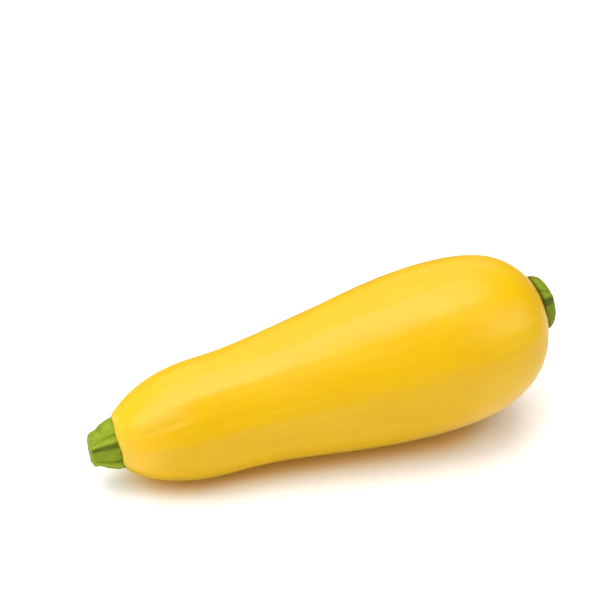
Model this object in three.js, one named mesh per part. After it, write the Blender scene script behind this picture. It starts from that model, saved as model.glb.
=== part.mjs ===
// Yellow summer squash, as picked, lying on its side.
//
// Millimetres. +X runs from the cut stem to the blossom end and +Z is up. The origin is on the
// surface that the squash rests on, under the middle of the whole squash.

import * as THREE from 'three';

// Driving dimensions of the fruit. STATION is a distance along its axis from the stem's seat.
const NECK_RADIUS = 22.5;
const BULB_RADIUS = 32.8;
const SWELL_STATIONS = [32, 129]; // the neck starts to widen, and the bulb has its full width
const STEM_SEAT_RADIUS = 9.5; // flat round place at station 0 that the stem grows from
const SHOULDER_LENGTH = 44;
const SHOULDER_POWERS = [2.7, 1.22]; // superellipse powers along and across the axis
const BULB_END_STATION = 120; // the rounding of the bulb's end begins here
const POLE_STATION = 168.8; // and would close on the axis here
const BULB_END_POWERS = [2.65, 2.7];
const CAP_SEAT_STATION = 167.2; // flat round place under the blossom end's cap
const TIP_LIFT = 4.2; // the wide end curves up by this much
const TIP_LIFT_POWER = 4; // and most of it near the tip
const POLE_RAISE = 4; // the wide end closes this far above its centreline
const RIB_COUNT = 10;
const RIB_HEIGHT = 0.2;
const REST_TILT = 6.5; // degrees: the line under the neck and the bulb is level
const BELLY_FLAT_DEPTH = 0.45; // the weight presses the belly this flat

// The stem and the cap are ridged stubs. An outline lists [distance from the seat, radius].
const SEAT_GAP = 0.3;
const RIDGE_COUNT = 5;
const STEM = {
  outline: [[0, 9.4], [2.2, 9], [4.9, 7.7], [6.4, 6.9], [9.5, 6], [10.4, 4.6]],
  crestAngle: 41, // degrees from the top towards -Y
  ridgeHeight: 0.8,
};
const CAP = {
  outline: [[0, 10.6], [2, 10.5], [3.8, 9.8], [5.4, 8.5], [6.5, 6.7], [7.2, 4.5]],
  crestAngle: 25, // degrees from the top towards +Y
  ridgeHeight: 0.5,
  raise: 1.6, // its centre is this far above the middle of its seat
};

// Mesh resolution.
const FRUIT_SEGMENTS = 60;
const FRUIT_RINGS = 44;
const STUB_SEGMENTS = 40;
const STUB_RINGS = 12;

const { degToRad, lerp, smoothstep, clamp } = THREE.MathUtils;
const restTilt = degToRad(REST_TILT);

/** Share of its radius that the fruit still has where its wide end closes towards the pole. */
function bulbEndShare(station) {
  const [endAlong, endAcross] = BULB_END_POWERS;
  const toPole = clamp((station - BULB_END_STATION) / (POLE_STATION - BULB_END_STATION), 0, 1);
  return (1 - toPole ** endAlong) ** (1 / endAcross);
}

/** Radius of the fruit at a station, without its ribs. */
function fruitRadius(station) {
  const [swellStart, swellEnd] = SWELL_STATIONS;
  const swell = lerp(NECK_RADIUS, BULB_RADIUS, smoothstep(station, swellStart, swellEnd));

  const [shoulderAlong, shoulderAcross] = SHOULDER_POWERS;
  const toShoulder = clamp(1 - station / SHOULDER_LENGTH, 0, 1);
  const seatShare = STEM_SEAT_RADIUS / NECK_RADIUS;
  const shoulder = lerp(seatShare, 1, (1 - toShoulder ** shoulderAlong) ** (1 / shoulderAcross));

  return swell * shoulder * bulbEndShare(station);
}

/** How far the fruit's centreline has curved up at a station. */
function centreLift(station) {
  return TIP_LIFT * (station / POLE_STATION) ** TIP_LIFT_POWER;
}

/** Slope of the centreline against the straight axis at a station, in radians. */
function centreSlope(station) {
  const share = station / POLE_STATION;
  return Math.atan(TIP_LIFT * TIP_LIFT_POWER * share ** (TIP_LIFT_POWER - 1) / POLE_STATION);
}

/** Turns a vector of the fruit's own frame (along, across, above the axis) to its resting tilt. */
function atRestTilt(along, across, above) {
  return new THREE.Vector3(
    along * Math.cos(restTilt) - above * Math.sin(restTilt),
    across,
    along * Math.sin(restTilt) + above * Math.cos(restTilt),
  );
}

/** A point on the ring that stands square on the centreline, at an angle from the top. */
function fruitPoint(station, radius, angle) {
  const slope = centreSlope(station);
  const up = radius * Math.cos(angle) + POLE_RAISE * (1 - bulbEndShare(station));
  return atRestTilt(
    station - up * Math.sin(slope),
    radius * Math.sin(angle),
    centreLift(station) + up * Math.cos(slope),
  );
}

/** Stations from the stem's seat to the cap's seat, closer together towards both round ends. */
function fruitStations() {
  return Array.from({ length: FRUIT_RINGS }, (_, ring) => {
    const share = ring / (FRUIT_RINGS - 1);
    return CAP_SEAT_STATION * (1 - Math.cos(Math.PI * share)) / 2;
  });
}

/** Height of the fruit's axis at station 0 above the surface, with the belly pressed flat. */
function axisHeight() {
  const undersides = fruitStations()
    .map((station) => fruitPoint(station, fruitRadius(station), Math.PI).z);
  return -Math.min(...undersides) - BELLY_FLAT_DEPTH;
}

/** One closed solid through rings of points that advance along +X, with a flat fan at each end. */
function solidThroughRings(rings) {
  const segments = rings[0].length;
  const centreOf = (ring) => ring
    .reduce((sum, point) => sum.add(point), new THREE.Vector3())
    .divideScalar(segments);
  const points = [...rings.flat(), centreOf(rings[0]), centreOf(rings.at(-1))];
  const firstCentre = points.length - 2;
  const lastCentre = points.length - 1;
  const lastRing = (rings.length - 1) * segments;

  const triangles = [];
  for (let side = 0; side < segments; side += 1) {
    const next = (side + 1) % segments;
    triangles.push(firstCentre, next, side);
    triangles.push(lastCentre, lastRing + side, lastRing + next);
    for (let start = 0; start < lastRing; start += segments) {
      triangles.push(start + side, start + next, start + segments + next);
      triangles.push(start + side, start + segments + next, start + segments + side);
    }
  }

  const geometry = new THREE.BufferGeometry().setFromPoints(points);
  geometry.setIndex(triangles);
  geometry.computeVertexNormals();
  return geometry;
}

/** Points round a piece that advances along +X. pointAt takes the angle from the top towards +Y. */
function ring(segments, pointAt) {
  return Array.from({ length: segments }, (_, side) => pointAt(-2 * Math.PI * side / segments));
}

/** The whole yellow fruit, already at its resting tilt and height. */
function fruitBody(height) {
  const rings = fruitStations().map((station) => ring(FRUIT_SEGMENTS, (angle) => {
    const smooth = fruitRadius(station);
    const rib = RIB_HEIGHT * (smooth / BULB_RADIUS) * Math.cos(RIB_COUNT * angle);
    const point = fruitPoint(station, smooth + rib, angle);
    point.z = Math.max(0, point.z + height);
    return point;
  }));
  const skin = new THREE.MeshStandardMaterial({ color: 0xf5c61c, roughness: 0.42, metalness: 0 });
  const mesh = new THREE.Mesh(solidThroughRings(rings), skin);
  mesh.name = 'fruit_body';
  return mesh;
}

/** A stub with rounded ridges that stands along +X on its seat at x = 0. */
function ridgedStub({ outline, crestAngle, ridgeHeight }) {
  const curve = new THREE.SplineCurve(outline.map(([x, radius]) => new THREE.Vector2(x, radius)));
  const crest = degToRad(crestAngle);
  const rings = curve.getPoints(STUB_RINGS - 1).map(({ x, y: radius }) => (
    ring(STUB_SEGMENTS, (angle) => {
      const ridge = ridgeHeight * (radius / outline[0][1]) * Math.cos(RIDGE_COUNT * (angle - crest));
      return new THREE.Vector3(
        x,
        (radius + ridge) * Math.sin(angle),
        (radius + ridge) * Math.cos(angle),
      );
    })
  ));
  return solidThroughRings(rings);
}

/** The green stem, cut off short, on the neck's flat seat. */
function stem(height) {
  const green = new THREE.MeshStandardMaterial({ color: 0x8ea82c, roughness: 0.6, metalness: 0 });
  const mesh = new THREE.Mesh(ridgedStub(STEM), green);
  mesh.name = 'stem';
  mesh.position.copy(atRestTilt(-SEAT_GAP, 0, 0));
  mesh.position.z += height;
  mesh.rotation.set(0, restTilt, Math.PI, 'ZYX'); // out of the fruit, towards -X
  return mesh;
}

/** The dark green cap that the flower leaves on the wide end. */
function blossomEnd(height) {
  const green = new THREE.MeshStandardMaterial({ color: 0x6e8420, roughness: 0.6, metalness: 0 });
  const mesh = new THREE.Mesh(ridgedStub(CAP), green);
  mesh.name = 'blossom_end';
  const slope = centreSlope(CAP_SEAT_STATION);
  const gap = atRestTilt(Math.cos(slope), 0, Math.sin(slope)).multiplyScalar(SEAT_GAP);
  mesh.position.copy(fruitPoint(CAP_SEAT_STATION, CAP.raise, 0)).add(gap);
  mesh.position.z += height;
  mesh.rotation.y = -(restTilt + slope);
  return mesh;
}

/** The three pieces, moved so that the origin is under the middle of the whole squash. */
function summerSquash() {
  const height = axisHeight();
  const squash = new THREE.Group();
  squash.name = 'yellow_summer_squash';
  squash.add(fruitBody(height), stem(height), blossomEnd(height));
  const middle = new THREE.Box3().setFromObject(squash, true).getCenter(new THREE.Vector3());
  squash.position.set(-middle.x, -middle.y, 0);
  return squash;
}

export default summerSquash();
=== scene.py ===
"""The looks of a yellow summer squash that lies on its side, as picked.

Lengths are in metres, in the part's own frame: +X runs from the cut stem to the blossom end, and
+Z is up from the surface that the squash rests on.
"""

import bpy
import numpy as np
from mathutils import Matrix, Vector, noise


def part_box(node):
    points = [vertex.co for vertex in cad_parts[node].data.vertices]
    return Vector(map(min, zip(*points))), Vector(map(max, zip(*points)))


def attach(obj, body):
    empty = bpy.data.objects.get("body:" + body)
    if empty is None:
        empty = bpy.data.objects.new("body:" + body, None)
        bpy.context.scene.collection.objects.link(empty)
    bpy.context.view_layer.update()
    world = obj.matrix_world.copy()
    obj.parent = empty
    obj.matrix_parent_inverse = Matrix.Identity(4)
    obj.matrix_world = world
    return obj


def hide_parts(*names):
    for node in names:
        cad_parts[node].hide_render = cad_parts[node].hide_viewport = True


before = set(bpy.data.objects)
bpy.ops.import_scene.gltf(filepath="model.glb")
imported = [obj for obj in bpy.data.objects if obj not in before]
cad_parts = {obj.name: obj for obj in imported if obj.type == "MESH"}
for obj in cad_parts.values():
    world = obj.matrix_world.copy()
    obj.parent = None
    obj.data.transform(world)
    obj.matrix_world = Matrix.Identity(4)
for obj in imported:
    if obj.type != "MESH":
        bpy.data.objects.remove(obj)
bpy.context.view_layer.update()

MM = 0.001
TURN = 2 * np.pi

# The fruit, as the CAD body has it. A STATION is a distance along its axis from the stem's seat.
NECK_RADIUS = 22.5 * MM
BULB_RADIUS = 32.8 * MM
SWELL_STATIONS = (32 * MM, 129 * MM)
STEM_SEAT_RADIUS = 9.5 * MM
SHOULDER_LENGTH = 44 * MM
SHOULDER_POWERS = (2.7, 1.22)
BULB_END_STATION = 120 * MM
POLE_STATION = 168.8 * MM
BULB_END_POWERS = (2.65, 2.7)
CAP_SEAT_STATION = 167.2 * MM
TIP_LIFT = 4.2 * MM
TIP_LIFT_POWER = 4
POLE_RAISE = 4 * MM
RIB_HEIGHT = 0.2 * MM
RIB_COUNT = 10
REST_TILT = np.radians(6.5)
BELLY_FLAT_DEPTH = 0.45 * MM

# Both green stubs, where their CAD bodies stand.
SEAT_GAP = 0.3 * MM
CAP_RAISE = 1.6 * MM

# The stem's ridges: degrees from the top towards -Y, and how deep the valley after each one is.
STEM_CRESTS = (-31, 43, 107, 177, 250)
STEM_VALLEYS = (0.35, 1.0, 0.7, 0.8, 0.8)

# Creases in the skin: degrees from the top towards -Y, and the millimetres along between which
# each one runs.
CREASES = (
    (48, -5, 35),
    (58.5, 18, 62),
    (102, 2, 50),
    (151, 10, 72),
    (203, -5, 42),
    (248, 22, 88),
    (297, 0, 46),
    (338, 12, 64),
)
CREASE_DEPTH = 0.12 * MM
CREASE_WIDTH = 1.3 * MM

# Dents in the skin: the place, the radius and the depth of each one, in millimetres.
DENTS = (
    ((20, 33, 42), 11, 0.35),
    ((-42, 17, 45), 8, 0.25),
    ((52, -27, 18), 9, 0.2),
    ((0, -14, 62), 7, 0.1),
)

# Green marks in the skin: how many there are, and the millimetres along between which they start
# and between which their lengths lie. The first lines run out from the stem, and the short
# dashes lie farther on.
GREEN_MARKS = (
    (22, (3, 12), (8, 30)),
    (80, (12, 135), (5, 14)),
)

# The skin ends under the cap, and it is raised in a lip round a moat next to it.
SKIN_END_STATION = 168.5 * MM
CAP_LIP_RADIUS = 13.6 * MM
CAP_MOAT_RADIUS = 11.2 * MM

# The small hollow that the stem grows out of: stations and radii from its rim inwards.
STEM_HOLLOW = (
    (0.5 * MM, 9.0 * MM),
    (1.1 * MM, 8.2 * MM),
    (1.3 * MM, 5.0 * MM),
)

# Mesh resolution: rings along a piece, and segments round it.
SKIN_RINGS = 226
SKIN_SEGMENTS = 400
STUB_RINGS = 110
STUB_SEGMENTS = 320
FACE_RINGS = 26
FACE_GRAIN = 20 * MM  # the grain runs on by this much from a stub's rim to the middle of its face

# The camera looks at the squash from the stem's side and from above.
CAMERA_AZIMUTH = np.radians(-17.6)
CAMERA_ELEVATION = np.radians(35)
CAMERA_DISTANCE = 430.8 * MM
CAMERA_TARGET = Vector((-10.8 * MM, 0, 67.1 * MM))
CAMERA_LENS = 72
SENSOR_WIDTH = 36


# ------------------------------------------------------------------ shape of the fruit

def vectors(x, y, z):
    """One array of points from coordinates that broadcast together."""
    return np.stack(np.broadcast_arrays(x, y, z), axis=-1)


def smoothstep(value, low, high):
    """Goes smoothly from 0 to 1 as a value goes from low to high."""
    share = np.clip((value - low) / (high - low), 0, 1)
    return share * share * (3 - 2 * share)


def bulb_end_share(station):
    """Share of its radius that the fruit still has where its wide end closes towards the pole."""
    along, across = BULB_END_POWERS
    to_pole = np.clip((station - BULB_END_STATION) / (POLE_STATION - BULB_END_STATION), 0, 1)
    return (1 - to_pole ** along) ** (1 / across)


def fruit_radius(station):
    """Radius of the fruit at a station, without its ribs."""
    swell = NECK_RADIUS + (BULB_RADIUS - NECK_RADIUS) * smoothstep(station, *SWELL_STATIONS)
    along, across = SHOULDER_POWERS
    to_shoulder = np.clip(1 - station / SHOULDER_LENGTH, 0, 1)
    seat_share = STEM_SEAT_RADIUS / NECK_RADIUS
    shoulder = seat_share + (1 - seat_share) * (1 - to_shoulder ** along) ** (1 / across)
    return swell * shoulder * bulb_end_share(station)


def at_rest_tilt(along, across, above):
    """Turns the fruit's own coordinates (along, across, above its axis) to its resting tilt."""
    return vectors(
        along * np.cos(REST_TILT) - above * np.sin(REST_TILT),
        across,
        along * np.sin(REST_TILT) + above * np.cos(REST_TILT),
    )


def centre_slope(station):
    """Slope of the centreline against the straight axis at a station, in radians."""
    share = station / POLE_STATION
    return np.arctan(TIP_LIFT * TIP_LIFT_POWER * share ** (TIP_LIFT_POWER - 1) / POLE_STATION)


def fruit_point(station, radius, angle):
    """A point of the ring that stands square on the centreline, at an angle from the top to +Y."""
    slope = centre_slope(station)
    lift = TIP_LIFT * (station / POLE_STATION) ** TIP_LIFT_POWER
    up = radius * np.cos(angle) + POLE_RAISE * (1 - bulb_end_share(station))
    return at_rest_tilt(
        station - up * np.sin(slope),
        radius * np.sin(angle),
        lift + up * np.cos(slope),
    )


def axis_start():
    """Where the fruit's axis leaves the stem's seat, from the CAD body's box."""
    stations = np.linspace(0, CAP_SEAT_STATION, 2000)
    underside = fruit_point(stations, fruit_radius(stations), np.pi)[:, 2].min()
    seat_top = STEM_SEAT_RADIUS * (1 + RIB_HEIGHT / BULB_RADIUS)
    lowest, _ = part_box("fruit_body")
    return np.array([lowest.x + seat_top * np.sin(REST_TILT), 0, -underside - BELLY_FLAT_DEPTH])


AXIS_START = axis_start()


# ------------------------------------------------------------------ tools for meshes

def soft_noise(points, size, seed):
    """Smooth noise, about -0.5 to 0.5, with lumps of a size, at each of an array of points."""
    flat = (points / size).reshape(-1, 3) + seed * np.array([17.3, 5.9, 11.7])
    values = np.array([noise.noise(Vector(p)) for p in flat])
    return values.reshape(points.shape[:-1])


def surface_normals(grid):
    """Outward normals of a grid of points: rings along +X, going round from the top to -Y."""
    along = np.gradient(grid, axis=0)
    ahead = np.roll(grid, -1, axis=1) - np.roll(grid, 1, axis=1)
    normals = np.cross(ahead, along)
    return normals / np.linalg.norm(normals, axis=-1, keepdims=True)


def smooth_curve(points, count):
    """Evenly spaced points on a Catmull-Rom curve through the given ones."""
    points = np.array(points, float)
    ends = np.vstack([2 * points[0] - points[1], points, 2 * points[-1] - points[-2]])
    t = np.linspace(0, 1, 40, endpoint=False)[:, None]
    fine = [
        0.5 * (2 * b + (c - a) * t + (2 * a - 5 * b + 4 * c - d) * t**2
               + (3 * b - a - 3 * c + d) * t**3)
        for a, b, c, d in zip(ends, ends[1:], ends[2:], ends[3:])
    ]
    fine = np.vstack([*fine, points[-1:]])
    length = np.concatenate([[0], np.cumsum(np.linalg.norm(np.diff(fine, axis=0), axis=1))])
    even = np.linspace(0, length[-1], count)
    return np.stack([np.interp(even, length, fine[:, axis]) for axis in (0, 1)], axis=-1)


def closed_piece(name, grid, grain, marks_and_painted_light, outward=1):
    """A closed smooth mesh through rings of points, with a fan over its first and last ring.

    grain holds, for each point, the cosine and sine of its angle and its centimetres along, and
    the next array a number for its colour: green marks on the skin, and painted shade and painted
    highlights on the stubs. outward is -1 where the rings advance along -X.
    """
    rings, segments, _ = grid.shape
    ends = [grid[0].mean(axis=0), grid[-1].mean(axis=0)]
    end_grain = [[0, 0, grain[0, 0, 2]], [0, 0, grain[-1, 0, 2]]]
    points = np.vstack([grid.reshape(-1, 3), ends])
    first_end, last_end = len(points) - 2, len(points) - 1
    last = (rings - 1) * segments

    # The UVs go round the piece in U, and along it in V between its two fans.
    lengths = np.linalg.norm(np.diff(grid, axis=0), axis=-1).mean(axis=1)
    heights = np.concatenate([[0], np.cumsum(lengths)])
    heights = 0.02 + 0.96 * heights / heights[-1]
    faces, corners = [], []
    for side in range(segments):
        after = (side + 1) % segments
        left, right = side / segments, (side + 1) / segments
        faces.append((first_end, after, side))
        corners += [((left + right) / 2, 0), (right, heights[0]), (left, heights[0])]
        for ring in range(rings - 1):
            start = ring * segments
            low, high = heights[ring], heights[ring + 1]
            faces.append((start + side, start + after, start + segments + after,
                          start + segments + side))
            corners += [(left, low), (right, low), (right, high), (left, high)]
        faces.append((last_end, last + side, last + after))
        corners += [((left + right) / 2, 1), (left, heights[-1]), (right, heights[-1])]

    mesh = bpy.data.meshes.new(name)
    mesh.from_pydata(points.tolist(), [], faces)
    unwrap = mesh.uv_layers.new(name="OFBake")
    unwrap.data.foreach_set("uv", np.array(corners, np.float32).ravel())
    all_grain = np.vstack([grain.reshape(-1, 3), end_grain]).astype(np.float32)
    all_marks_and_painted_light = np.concatenate([marks_and_painted_light.ravel(), [marks_and_painted_light[0].mean(), marks_and_painted_light[-1].mean()]])
    mesh.attributes.new("grain", "FLOAT_VECTOR", "POINT").data.foreach_set(
        "vector", all_grain.ravel())
    mesh.attributes.new("marks_and_painted_light", "FLOAT", "POINT").data.foreach_set(
        "value", all_marks_and_painted_light.astype(np.float32))
    if outward < 0:
        mesh.flip_normals()
    mesh.shade_smooth()
    piece = bpy.data.objects.new(name, mesh)
    bpy.context.scene.collection.objects.link(piece)
    return piece


def finish_piece(piece, node, material):
    """Gives a piece its material, and the place of a CAD node."""
    piece.data.materials.append(material)
    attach(piece, "root")
    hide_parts(node)


# ------------------------------------------------------------------ the yellow skin

def skin_stations():
    """Stations equally spaced over the skin, from the stem's seat to under the cap."""
    fine = SKIN_END_STATION * (1 - np.cos(np.pi * np.linspace(0, 1, 6000))) / 2
    steps = np.hypot(np.diff(fine), np.diff(fruit_radius(fine)))
    length = np.concatenate([[0], np.cumsum(steps)])
    return np.interp(np.linspace(0, length[-1], SKIN_RINGS), length, fine)


def rib_relief(station, angle):
    """Low rounded ribs, each of its own height and width, that fade out towards the bulb."""
    chance = np.random.default_rng(5)
    relief = 0
    for rib in range(RIB_COUNT):
        middle = TURN * (rib + chance.uniform(-0.16, 0.16)) / RIB_COUNT
        height = chance.uniform(0.12, 0.3) * MM
        width = chance.uniform(0.10, 0.17)
        fade_end = chance.uniform(50, 130) * MM
        away = np.angle(np.exp(1j * (angle - middle)))
        fade = 0.3 + 0.7 * (1 - smoothstep(station, 15 * MM, fade_end))
        fade = fade + 0.9 * np.exp(-station / (22 * MM))
        relief = relief + height * fade * np.exp(-(away / width) ** 2)
    return relief * smoothstep(station, 0, 8 * MM)


def crease_relief(station, angle):
    """Thin shallow furrows between some of the ribs."""
    relief = 0
    for degrees, start, end in CREASES:
        away = np.angle(np.exp(1j * (angle + np.radians(degrees)))) * fruit_radius(station)
        fade = smoothstep(station / MM, start, start + 8) - smoothstep(station / MM, end - 18, end)
        relief = relief - CREASE_DEPTH * fade * np.exp(-(away / CREASE_WIDTH) ** 2)
    return relief


def dents(points):
    """A few shallow hollows, as if from neighbours in a crate."""
    relief = 0
    for place, radius, depth in DENTS:
        away = np.linalg.norm(points - np.array(place) * MM, axis=-1)
        relief = relief - depth * MM * np.exp(-(away / (radius * MM)) ** 2)
    return relief


def skin_relief(points, station, angle, radius):
    """How far the skin stands proud of the smooth fruit."""
    lumps = 0.6 * MM * soft_noise(points, 34 * MM, 1) * smoothstep(station, 4 * MM, 30 * MM)
    broad = points * np.array([0.3, 1, 1])
    ripples = 0.14 * MM * soft_noise(broad, 8 * MM, 2) + crease_relief(station, angle)
    narrow = points * np.array([0.12, 1, 1])
    ripples = ripples + 0.04 * MM * soft_noise(narrow, 3.2 * MM, 4)

    near_stem = np.exp(-station / (7 * MM))
    wave, _ = ridges(angle, STEM_CRESTS, STEM_VALLEYS)
    lobes = 0.3 * MM * wave
    spokes = vectors(6 * MM * np.cos(angle), 6 * MM * np.sin(angle), 0.1 * station)
    folds = 0.3 * MM * soft_noise(spokes, 2.4 * MM, 3)
    lip = 0.15 * MM * np.exp(-((station - 1.4 * MM) / (1.2 * MM)) ** 2)

    near_cap = station > BULB_END_STATION
    cap_lip = 0.25 * MM * np.exp(-((radius - CAP_LIP_RADIUS) / (1.6 * MM)) ** 2)
    cap_moat = -0.7 * MM * np.exp(-((radius - CAP_MOAT_RADIUS) / (1.2 * MM)) ** 2)

    relief = lumps + ripples + rib_relief(station, angle) + dents(points)
    return relief + near_stem * (lobes + folds) + lip + near_cap * (cap_lip + cap_moat)


def green_marks(station, angle):
    """Faint green lines and dashes at places left to chance, from 0 to 1."""
    chance = np.random.default_rng(9)
    lines = 0
    for count, starts, lengths in GREEN_MARKS:
        for _ in range(count):
            middle = chance.uniform(0, TURN) + chance.uniform(-6, 6) * station
            away = np.angle(np.exp(1j * (angle - middle))) * fruit_radius(station)
            start = chance.uniform(*starts) * MM
            end = start + chance.uniform(*lengths) * MM
            fade = smoothstep(station, start, start + 3 * MM) - smoothstep(station, start, end)
            width = chance.uniform(0.4, 0.8) * MM
            line = chance.uniform(0.4, 1) * np.maximum(fade, 0) * np.exp(-(away / width) ** 2)
            lines = lines + line
    return np.clip(lines, 0, 1)


def fruit_skin():
    """The whole yellow skin, from the hollow round the stem to under the cap."""
    station = skin_stations()[:, None]
    angle = -TURN * np.arange(SKIN_SEGMENTS)[None, :] / SKIN_SEGMENTS
    radius = fruit_radius(station)
    smooth = fruit_point(station, radius, angle) + AXIS_START
    relief = skin_relief(smooth, station, angle, radius)
    grid = smooth + surface_normals(smooth) * relief[..., None]
    grid[..., 2] = np.maximum(grid[..., 2], 0)

    hollow = STEM_HOLLOW[::-1]
    inner = [fruit_point(depth, reach, angle[0]) + AXIS_START for depth, reach in hollow]
    grid = np.concatenate([np.array(inner), grid])
    depths = np.concatenate([[depth for depth, _ in hollow], station[:, 0]])

    grain = np.empty_like(grid)
    grain[..., 0] = np.cos(angle)
    grain[..., 1] = np.sin(angle)
    grain[..., 2] = depths[:, None] * 100
    return closed_piece("fruit_skin", grid, grain, green_marks(depths[:, None], angle))


# ------------------------------------------------------------------ the two green stubs

def ridges(angle, crests, valleys):
    """Rounded crests with a steep side away from the top, and valleys of their own depths.

    crests are in degrees from the top towards -Y, and each has the valley after it. Gives the
    relief, 1 on a crest and -1 in a valley of depth 1, and the painted shade that darkens the
    colour under each crest.
    """
    crests = np.array(crests)
    places = np.concatenate([crests - 360, crests, crests + 360])
    phase = np.interp(-np.degrees(angle) % 360, places, TURN * np.arange(len(places)))
    depth = np.array(valleys)[(phase // TURN).astype(int) % len(valleys)]
    phase = phase % TURN
    skewed = phase + 0.45 * (1 - np.cos(phase))
    fall = 1 - (0.5 + 0.5 * np.cos(skewed)) ** 1.4
    # Painted shade on the steep side under each crest.
    painted_shade = smoothstep(skewed, 0, 0.8) * (1 - 0.72 * smoothstep(skewed, 1.1, 2.6))
    painted_shade = painted_shade * (1 - smoothstep(skewed, 4.6, 6))
    return 1 - 2 * fall * depth, depth * painted_shade


def grooves(angle, chance, count, depths, widths):
    """Narrow grooves that run along a stub at places left to chance."""
    relief = 0
    for _ in range(count):
        away = np.angle(np.exp(1j * (angle - chance.uniform(0, TURN))))
        relief = relief - chance.uniform(*depths) * np.exp(-(away / chance.uniform(*widths)) ** 2)
    return relief


def stub(name, place, outward, outline, crests, valleys, heights, seed):
    """A ridged green stub with a finished end face.

    outline lists (distance from the seat, radius) and heights (distance, height of the ridges),
    in millimetres. place turns (distance, reach, angle) into a point.
    """
    curve = smooth_curve(outline, STUB_RINGS) * MM
    distance, radius = curve[:, :1], curve[:, 1:]
    angle = -TURN * np.arange(STUB_SEGMENTS)[None, :] / STUB_SEGMENTS
    chance = np.random.default_rng(seed)
    tip = outline[-1][0] * MM
    along = np.clip(distance / tip, 0, 1)

    # A narrow groove runs beside each crest, with painted shade in it near the seat, and a painted
    # highlight runs along the crest itself.
    wave, marks_and_painted_light = ridges(angle, crests, valleys)
    relief = np.interp(distance / MM, *zip(*heights)) * MM * wave
    for crest in crests:
        middle = -np.radians(crest - chance.uniform(13, 15) + 5 * along)
        away = np.angle(np.exp(1j * (angle - middle)))
        groove = np.exp(-(away / 0.07) ** 2)
        relief = relief - chance.uniform(0.3, 0.45) * MM * groove
        away = np.angle(np.exp(1j * (angle + np.radians(crest - 2))))
        marks_and_painted_light = marks_and_painted_light + 0.7 * (1 - along) * groove - 0.4 * np.exp(-(away / 0.05) ** 2)
    relief = relief + grooves(angle, chance, 24, (0.03 * MM, 0.14 * MM), (0.025, 0.07))
    long_lumps = vectors(8 * MM * np.cos(angle), 8 * MM * np.sin(angle), 0.25 * distance)
    relief = relief + 0.4 * MM * soft_noise(long_lumps, 2.6 * MM, seed)
    round_lumps = vectors(8 * MM * np.cos(angle), 8 * MM * np.sin(angle), distance)
    relief = relief + 0.3 * MM * soft_noise(round_lumps, 2.2 * MM, seed + 1)
    reach = radius + relief
    sides = place(np.broadcast_to(distance, reach.shape), reach, angle)

    # The end face: rings that shrink towards the middle, with a slightly sunken pith.
    share = np.linspace(1, 0.03, FACE_RINGS + 1)[1:, None]
    face_reach = reach[-1:] * share
    edge = 0.3 * MM * smoothstep(1 - share, 0, 0.1)
    pith = 0.5 * MM * (1 - smoothstep(share, 0.15, 0.55))
    face_lumps = vectors(face_reach * np.cos(angle), face_reach * np.sin(angle), 0)
    rough = 0.3 * MM * soft_noise(face_lumps, 1.3 * MM, seed + 2) * smoothstep(1 - share, 0, 0.1)
    face = place(tip + edge - pith + rough, face_reach, angle)

    grid = np.concatenate([sides, face])
    grain = np.empty_like(grid)
    grain[..., 0] = np.cos(angle)
    grain[..., 1] = np.sin(angle)
    grain[..., 2] = np.concatenate([distance, tip + (1 - share) * FACE_GRAIN]) * 100
    marks_and_painted_light = np.concatenate([np.broadcast_to(marks_and_painted_light, reach.shape), 0 * face_reach])
    return closed_piece(name, grid, grain, marks_and_painted_light, outward)


def cut_stem():
    """The stem, cut off a little aslant, whose ridges spread onto the skin."""
    def place(distance, reach, angle):
        slanted = distance - 0.08 * reach * np.cos(angle) * np.clip(distance / (10 * MM), 0, 1)
        low = 0.4 * MM
        return at_rest_tilt(
            -SEAT_GAP - slanted, reach * np.sin(angle), reach * np.cos(angle) - low) + AXIS_START

    return stub(
        "cut_stem", place, -1,
        outline=[(-1.2, 9.3), (0, 9.3), (2.2, 8.9), (4.9, 7.7), (6.4, 6.9), (8.6, 6.3), (9.5, 6.0),
                 (10.1, 5.4), (10.4, 4.6)],
        crests=STEM_CRESTS,
        valleys=STEM_VALLEYS,
        heights=[(0, 0.6), (1.5, 0.8), (4.8, 1.0), (6.8, 0.65), (10.4, 0.5)],
        seed=11,
    )


def blossom_cap():
    """The domed remnant of the flower."""
    slope = centre_slope(CAP_SEAT_STATION)
    seat = fruit_point(CAP_SEAT_STATION, CAP_RAISE, 0) + AXIS_START

    def place(distance, reach, angle):
        out = distance + SEAT_GAP
        up = reach * np.cos(angle)
        return seat + at_rest_tilt(
            out * np.cos(slope) - up * np.sin(slope),
            reach * np.sin(angle),
            out * np.sin(slope) + up * np.cos(slope),
        )

    return stub(
        "blossom_cap", place, 1,
        outline=[(-1.2, 10.4), (0, 10.6), (2, 10.5), (3.8, 9.8), (5.4, 8.5), (6.5, 6.7),
                 (7.2, 4.5)],
        crests=(-27, 42, 128, 195, 263),
        valleys=(0.35, 1.0, 0.8, 0.9, 0.7),
        heights=[(0, 0.6), (3.5, 0.65), (7.2, 0.3)],
        seed=23,
    )


# ------------------------------------------------------------------ materials

# The skin is one of two yellows in soft patches, with paler streaks and green marks.
SKIN_YELLOW = (0.755, 0.447, 0.002)
SKIN_PATCH = (0.745, 0.431, 0.002)
SKIN_STREAK = (0.765, 0.505, 0.02)
SKIN_MARK = (0.60, 0.45, 0.008)

# It changes towards its two ends. A FADE is in centimetres along from the stem's seat.
# By the stem the skin is paler and brighter: partly its own tone, and partly painted light on the
# shoulder that faces the lights past the stem.
SKIN_PALE_AND_LIT_BY_STEM = (0.85, 0.505, 0.012)
PALE_AND_LIT_STEM_FADE = (0.3, 2.2)
SKIN_STEM_RIM = (0.76, 0.54, 0.033)
STEM_RIM_FADE = (0.05, 0.5)
SKIN_CAP_RIM = (0.80, 0.60, 0.06)
CAP_RIM_FADE = (16.62, 16.72)
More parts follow.
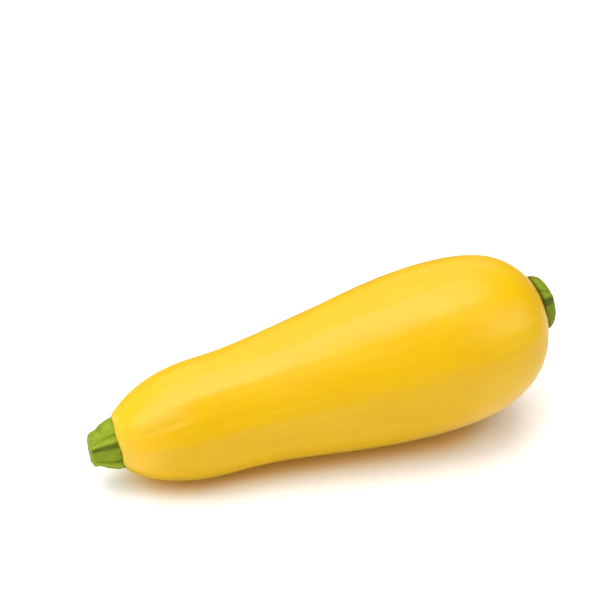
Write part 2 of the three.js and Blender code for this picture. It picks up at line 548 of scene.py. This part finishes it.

# The colours of the green stubs, and the centimetres along over which the darker base ends and
# the cut end starts. The base colour is partly the stub's own browner base and partly painted
# shade in the joint with the skin, the deep colour is painted shade under the crests, and the
# pale one is both the stub's own flecks and pith and a painted highlight along the crests. A
# smaller stretch makes the fibres longer.
STEM_GREEN = {
    "light": (0.274, 0.36, 0.02),
    "dark": (0.156, 0.208, 0.008),
    "painted_shade": (0.096, 0.138, 0.001),
    "pale_and_highlight": (0.36, 0.45, 0.065),
    "shaded_base": (-0.03, 0.05),
    "shaded_base_colour": (0.23, 0.20, 0.003),
    "cut": (0.96, 1.06),
    "cut_colour": (0.30, 0.36, 0.065),
    "stretch": 0.15,
}
CAP_GREEN = {
    "light": (0.22, 0.30, 0.011),
    "dark": (0.13, 0.175, 0.006),
    "painted_shade": (0.071, 0.096, 0.001),
    "pale_and_highlight": (0.29, 0.36, 0.035),
    "shaded_base": (0.10, 0.23),
    "shaded_base_colour": (0.075, 0.054, 0.001),
    "cut": (0.66, 0.86),
    "cut_colour": (0.167, 0.183, 0.042),
    "stretch": 0.5,
}

# Places on a stub's end face, in centimetres of grain past where its cut starts: the outer and
# the inner side of its ring of vessels, and where the pith starts.
RING_OUTER_SIDE = (0.65, 0.95)
RING_INNER_SIDE = (1.05, 1.3)
PITH_START = (1.2, 1.55)


class Nodes:
    """A material's nodes, made and linked in one call each."""

    def __init__(self, tree):
        self.tree = tree

    def add(self, kind, inputs=None, **settings):
        """A node whose inputs are set to values, or linked where they are given a socket."""
        made = self.tree.nodes.new(kind)
        for name, value in settings.items():
            setattr(made, name, value)
        for name, value in (inputs or {}).items():
            if isinstance(value, bpy.types.NodeSocket):
                self.tree.links.new(value, made.inputs[name])
            else:
                made.inputs[name].default_value = value
        return made

    def math(self, operation, first, second=0.0):
        return self.add("ShaderNodeMath", {0: first, 1: second}, operation=operation).outputs[0]

    def noise(self, vector, scale, detail=3.0, roughness=0.5, stretch=(1, 1, 1)):
        """Noise from 0 to 1 in a vector's space, stretched where stretch is small."""
        moved = self.add("ShaderNodeMapping", {"Vector": vector, "Scale": stretch})
        made = self.add("ShaderNodeTexNoise", {
            "Vector": moved.outputs[0], "Scale": scale, "Detail": detail, "Roughness": roughness})
        return made.outputs["Fac"]

    def ramp(self, value, low, high, start=0.0, end=1.0):
        """Goes smoothly from start to end as a value goes from low to high."""
        made = self.add("ShaderNodeMapRange", {
            "Value": value, "From Min": low, "From Max": high, "To Min": start, "To Max": end,
        }, interpolation_type="SMOOTHSTEP")
        return made.outputs["Result"]

    def mix(self, factor, first, second):
        """Goes from a first colour to a second one as the factor goes from 0 to 1."""
        made = self.add("ShaderNodeMix", data_type="RGBA")
        for index, value in ((0, factor), (6, first), (7, second)):
            if isinstance(value, bpy.types.NodeSocket):
                self.tree.links.new(value, made.inputs[index])
            elif index:
                made.inputs[index].default_value = (*value, 1)
            else:
                made.inputs[index].default_value = value
        return made.outputs[2]


def new_material(name, shader_inputs):
    """A material with one Principled shader, and the nodes that feed it."""
    material = bpy.data.materials.new(name)
    material.use_nodes = True
    material.node_tree.nodes.clear()
    nodes = Nodes(material.node_tree)
    shader = nodes.add("ShaderNodeBsdfPrincipled", shader_inputs)
    nodes.add("ShaderNodeOutputMaterial", {"Surface": shader.outputs[0]})
    position = nodes.add("ShaderNodeTexCoord").outputs["Object"]
    grain = nodes.add("ShaderNodeAttribute", attribute_name="grain").outputs["Vector"]
    along = nodes.add("ShaderNodeSeparateXYZ", {"Vector": grain}).outputs["Z"]
    return material, nodes, shader, position, grain, along


def skin_material():
    """Satin yellow skin, paler right at the stem and at the cap, and with painted light by the
    stem.
    """
    material, nodes, shader, position, grain, along = new_material("squash_skin", {
        "IOR": 1.455,
        "Subsurface Weight": 0.12,
        "Subsurface Scale": 0.003,
        "Subsurface Radius": (1.0, 0.45, 0.06),
    })
    patches = nodes.noise(position, 38, detail=2)
    colour = nodes.mix(nodes.ramp(patches, 0.35, 0.65), SKIN_YELLOW, SKIN_PATCH)
    streaks = nodes.noise(grain, 9, detail=3, roughness=0.6, stretch=(1, 1, 0.03))
    colour = nodes.mix(nodes.ramp(streaks, 0.45, 0.75, 0, 0.5), colour, SKIN_STREAK)
    # Paler by the stem: partly the skin's own tone, partly painted light on the shoulder.
    colour = nodes.mix(nodes.ramp(along, *PALE_AND_LIT_STEM_FADE, 1, 0), colour, SKIN_PALE_AND_LIT_BY_STEM)
    colour = nodes.mix(nodes.ramp(along, *STEM_RIM_FADE, 0.7, 0), colour, SKIN_STEM_RIM)
    colour = nodes.mix(nodes.ramp(along, *CAP_RIM_FADE, 0, 0.6), colour, SKIN_CAP_RIM)
    marks = nodes.add("ShaderNodeAttribute", attribute_name="marks_and_painted_light").outputs["Fac"]
    colour = nodes.mix(nodes.ramp(marks, 0.1, 1.0, 0, 0.4), colour, SKIN_MARK)
    nodes.tree.links.new(colour, shader.inputs["Base Color"])

    # The roughness stays over 0.28, under which the denoiser leaves dark spots.
    gloss = nodes.noise(position, 120, detail=2)
    rough = nodes.ramp(gloss, 0.3, 0.7, 0.285, 0.33)
    nodes.tree.links.new(rough, shader.inputs["Roughness"])

    peel = nodes.noise(position, 700, detail=2)
    bump = nodes.add("ShaderNodeBump", {"Height": peel, "Strength": 0.4, "Distance": 0.00004})
    nodes.tree.links.new(bump.outputs[0], shader.inputs["Normal"])
    return material


def green_material(name, light, dark, painted_shade, pale_and_highlight, shaded_base, shaded_base_colour, cut, cut_colour, stretch):
    """Ridged green skin, with painted shade under the crests of its ridges and a painted highlight
    along them.
    """
    material, nodes, shader, position, grain, along = new_material(name, {
        "IOR": 1.38,
        "Specular IOR Level": 0.21,
        "Subsurface Weight": 0.05,
        "Subsurface Scale": 0.002,
        "Subsurface Radius": (0.4, 1.0, 0.1),
    })
    marks_and_painted_light = nodes.add("ShaderNodeAttribute", attribute_name="marks_and_painted_light").outputs["Fac"]
    fibres = nodes.noise(grain, 14, detail=4, roughness=0.65, stretch=(1, 1, stretch))
    mottle = nodes.noise(position, 420, detail=3, roughness=0.6)
    colour = nodes.mix(nodes.ramp(fibres, 0.3, 0.7, 0, 0.6), light, dark)
    colour = nodes.mix(nodes.ramp(mottle, 0.5, 0.7, 0, 0.4), colour, dark)
    # Painted shade under the crests, and a painted highlight along them.
    colour = nodes.mix(nodes.ramp(marks_and_painted_light, 0.05, 0.9, 0, 0.9), colour, painted_shade)
    colour = nodes.mix(nodes.ramp(marks_and_painted_light, -0.4, 0.0, 0.4, 0), colour, pale_and_highlight)
    flecks = nodes.noise(position, 900, detail=2)
    colour = nodes.mix(nodes.ramp(flecks, 0.6, 0.75, 0, 0.35), colour, pale_and_highlight)
    colour = nodes.mix(nodes.ramp(along, *cut, 0, 0.8), colour, cut_colour)

    # The end face has a dark ring of vessels round a pale pith.
    into_face = nodes.math("SUBTRACT", along, cut[1])
    outer_side = nodes.ramp(into_face, *RING_OUTER_SIDE)
    inner_side = nodes.ramp(into_face, *RING_INNER_SIDE, 1, 0)
    ring = nodes.math("MULTIPLY", outer_side, inner_side)
    vessels = nodes.noise(grain, 5, detail=1, stretch=(1, 1, 0))
    ring = nodes.math("MULTIPLY", ring, nodes.ramp(vessels, 0.4, 0.6, 0.15, 0.6))
    colour = nodes.mix(ring, colour, dark)
    colour = nodes.mix(nodes.ramp(into_face, *PITH_START, 0, 0.6), colour, pale_and_highlight)

    # Darker at the base: painted shade in the joint with the skin, over the stub's own browner
    # base.
    colour = nodes.mix(nodes.ramp(along, *shaded_base, 0.9, 0), colour, shaded_base_colour)
    nodes.tree.links.new(colour, shader.inputs["Base Color"])
    rough = nodes.ramp(fibres, 0.3, 0.7, 0.5, 0.62)
    nodes.tree.links.new(rough, shader.inputs["Roughness"])
    bump = nodes.add("ShaderNodeBump", {"Height": fibres, "Strength": 0.5, "Distance": 0.0002})
    nodes.tree.links.new(bump.outputs[0], shader.inputs["Normal"])
    return material


# ------------------------------------------------------------------ floor, light and camera

# The floor is white. Under the squash it has a painted warm shadow, darker and yellower, in
# place of the shade and the yellow light that the others of a heap would throw there.
FLOOR_HALF_WIDTH = 4.0
FLOOR_WHITE = (0.98, 0.98, 0.99)
FLOOR_PAINTED_SHADOW = (0.89, 0.66, 0.30)

# The painted shadow follows the squash, which widens between two places along X. It fades out
# sideways between two shares of the squash's half-width, and lengthways between two distances
# from its own middle.
PAINTED_SHADOW_SWELL = (-45 * MM, 55 * MM)
PAINTED_SHADOW_FADE = (0.48, 0.9)
PAINTED_SHADOW_MIDDLE = -6 * MM
PAINTED_SHADOW_ENDS = (36 * MM, 88 * MM)


def floor_material():
    """White, with a painted warm shadow under the squash."""
    material, nodes, shader, position, _, _ = new_material("white_floor", {
        "Roughness": 0.9,
        "Specular IOR Level": 0.1,
    })
    split = nodes.add("ShaderNodeSeparateXYZ", {"Vector": position})
    x, y = split.outputs["X"], split.outputs["Y"]
    half_width = nodes.ramp(x, *PAINTED_SHADOW_SWELL, NECK_RADIUS, BULB_RADIUS)
    across = nodes.math("DIVIDE", nodes.math("ABSOLUTE", y), half_width)
    from_middle = nodes.math("ABSOLUTE", nodes.math("SUBTRACT", x, PAINTED_SHADOW_MIDDLE))
    beyond = nodes.ramp(from_middle, *PAINTED_SHADOW_ENDS)
    squares = nodes.math("ADD", nodes.math("POWER", across, 2), nodes.math("POWER", beyond, 2))
    reach = nodes.math("SQRT", squares)
    # Painted warm shadow close to the squash, fading out to white.
    colour = nodes.mix(nodes.ramp(reach, *PAINTED_SHADOW_FADE), FLOOR_PAINTED_SHADOW, FLOOR_WHITE)
    nodes.tree.links.new(colour, shader.inputs["Base Color"])
    return material


def floor():
    """The surface that the squash rests on.

    The skin doesn't mirror it, and the low fill light reaches the skin's underside through it.
    """
    mesh = bpy.data.meshes.new("floor")
    half = FLOOR_HALF_WIDTH
    corners = [(-half, -half, 0), (half, -half, 0), (half, half, 0), (-half, half, 0)]
    mesh.from_pydata(corners, [], [(0, 1, 2, 3)])
    piece = bpy.data.objects.new("floor", mesh)
    bpy.context.scene.collection.objects.link(piece)
    mesh.materials.append(floor_material())
    piece.visible_glossy = False
    piece.visible_shadow = False


# Each softbox: its strength, then where it rises and falls along X, and in degrees of lean from
# straight overhead towards the back. They are overhead, behind, past the stem and in front.
SOFTBOXES = (
    (2.65, (-0.5, -0.38), (0.22, 0.5), (-10, -6), (24, 40)),
    (0.5, (-0.6, -0.4), (0.5, 0.7), (30, 44), (70, 85)),
    (2.7, (-0.95, -0.85), (-0.43, -0.35), (-54, -45), (16, 34)),
    (1.6, (0.3, 0.45), (0.85, 1.0), (-62, -52), (-26, -18)),
)
ROOM_STRENGTH = 0.06

# Gloss sees no floor, but two glows below the horizon, past the stem and past the cap.
GLOW_STRENGTH = 0.75
GLOW_EDGES = (0.27, 0.55)  # along X, either way
GLOW_TOP = (-0.35, -0.1)  # along Z

# The fill lights, which show in no reflection: strength, then where each one stands along X, Y
# and Z as seen from the squash.
FILLS = (
    (1.3, (0.1, -0.05, 1)),
    (0.42, (0.65, -0.75, -0.15)),
    (0.9, (0.1, 0.88, 0.42)),
)
FILL_WIDTH = np.radians(60)


def studio_light():
    """A dim room with four softboxes and two glows, of which the camera sees only plain white."""
    world = bpy.data.worlds.new("studio")
    bpy.context.scene.world = world
    world.use_nodes = True
    world.node_tree.nodes.clear()
    nodes = Nodes(world.node_tree)
    direction = nodes.add("ShaderNodeTexCoord").outputs["Generated"]
    split = nodes.add("ShaderNodeSeparateXYZ", {"Vector": direction})
    x, y, z = (split.outputs[axis] for axis in "XYZ")
    lean = nodes.math("ARCTAN2", y, z)
    aside = nodes.ramp(nodes.math("ABSOLUTE", x), *GLOW_EDGES, 0, GLOW_STRENGTH)
    glow = nodes.math("MULTIPLY", aside, nodes.ramp(z, *GLOW_TOP, 1, 0))
    strength = nodes.math("ADD", glow, ROOM_STRENGTH)
    for power, left, right, front, back in SOFTBOXES:
        across = nodes.math("MULTIPLY", nodes.ramp(x, *left), nodes.ramp(x, *right, 1, 0))
        over = nodes.math("MULTIPLY", nodes.ramp(lean, *np.radians(front)),
                          nodes.ramp(lean, *np.radians(back), 1, 0))
        box = nodes.math("MULTIPLY", nodes.math("MULTIPLY", across, over), power)
        strength = nodes.math("ADD", box, strength)
    light = nodes.add("ShaderNodeBackground", {"Strength": strength})
    backdrop = nodes.add("ShaderNodeBackground", {"Strength": 1.0})
    for background in (light, backdrop):
        background.inputs["Color"].default_value = (1, 1, 1, 1)
    seen = nodes.add("ShaderNodeLightPath").outputs["Is Camera Ray"]
    mixed = nodes.add("ShaderNodeMixShader", {0: seen, 1: light.outputs[0], 2: backdrop.outputs[0]})
    nodes.add("ShaderNodeOutputWorld", {"Surface": mixed.outputs[0]})


def fill_lights():
    """Wide suns: one from overhead, a low one from in front, and one from behind."""
    for strength, towards in FILLS:
        data = bpy.data.lights.new("fill", "SUN")
        data.energy = strength
        data.angle = FILL_WIDTH
        piece = bpy.data.objects.new("fill", data)
        piece.rotation_euler = Vector(towards).to_track_quat("Z", "Y").to_euler()
        piece.visible_glossy = False
        bpy.context.scene.collection.objects.link(piece)


def camera():
    """The camera, at its distance from the place that it looks at."""
    data = bpy.data.cameras.new("camera")
    data.lens = CAMERA_LENS
    data.sensor_width = SENSOR_WIDTH
    back = Vector((
        np.sin(CAMERA_AZIMUTH) * np.cos(CAMERA_ELEVATION),
        -np.cos(CAMERA_AZIMUTH) * np.cos(CAMERA_ELEVATION),
        np.sin(CAMERA_ELEVATION),
    ))
    piece = bpy.data.objects.new("camera", data)
    piece.location = CAMERA_TARGET + CAMERA_DISTANCE * back
    piece.rotation_euler = back.to_track_quat("Z", "Y").to_euler()
    bpy.context.scene.collection.objects.link(piece)
    bpy.context.scene.camera = piece


camera()
studio_light()
fill_lights()
floor()
bpy.context.scene.view_settings.view_transform = "Standard"
finish_piece(fruit_skin(), "fruit_body", skin_material())
finish_piece(cut_stem(), "stem", green_material("stem_green", **STEM_GREEN))
finish_piece(blossom_cap(), "blossom_end", green_material("cap_green", **CAP_GREEN))
